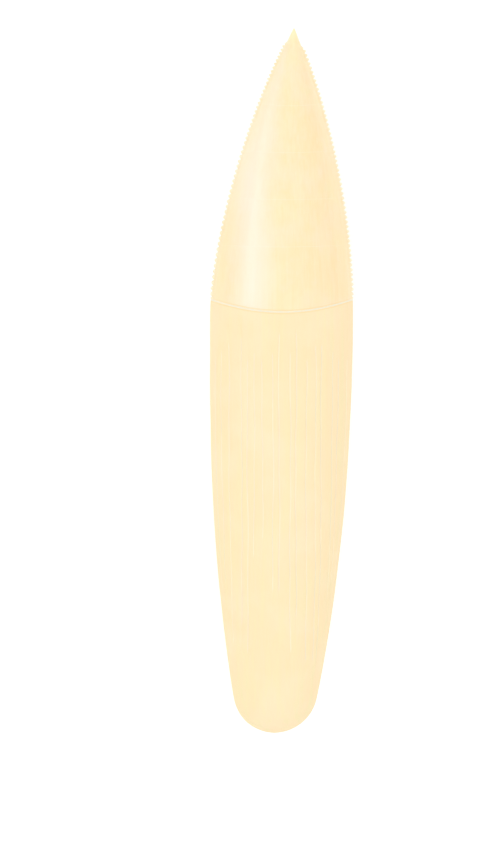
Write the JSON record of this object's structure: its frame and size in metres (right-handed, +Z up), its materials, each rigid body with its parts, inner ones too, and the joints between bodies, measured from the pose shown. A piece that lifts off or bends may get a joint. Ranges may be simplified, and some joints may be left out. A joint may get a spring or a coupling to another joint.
{
  "type": "tyrannosaurus tooth",
  "caption": "Big predator's tooth lying on its side: a pointed crown, saw-edged along both keels, above a long root with fine striae; a display piece that rests on a small flat spot.",
  "frame": {"origin": "on the surface the tooth lies on, under the middle of its length and width", "axes": "+Y from the root end to the crown tip, +X to the distal cutting edge, +Z up from the surface it lies on"},
  "size_m": [0.0405, 0.1992, 0.0278],
  "materials": {
    "ivory": "satin"
  },
  "bodies": {
    "root": {"tooth": "ivory"}
  },
  "joints": []
}
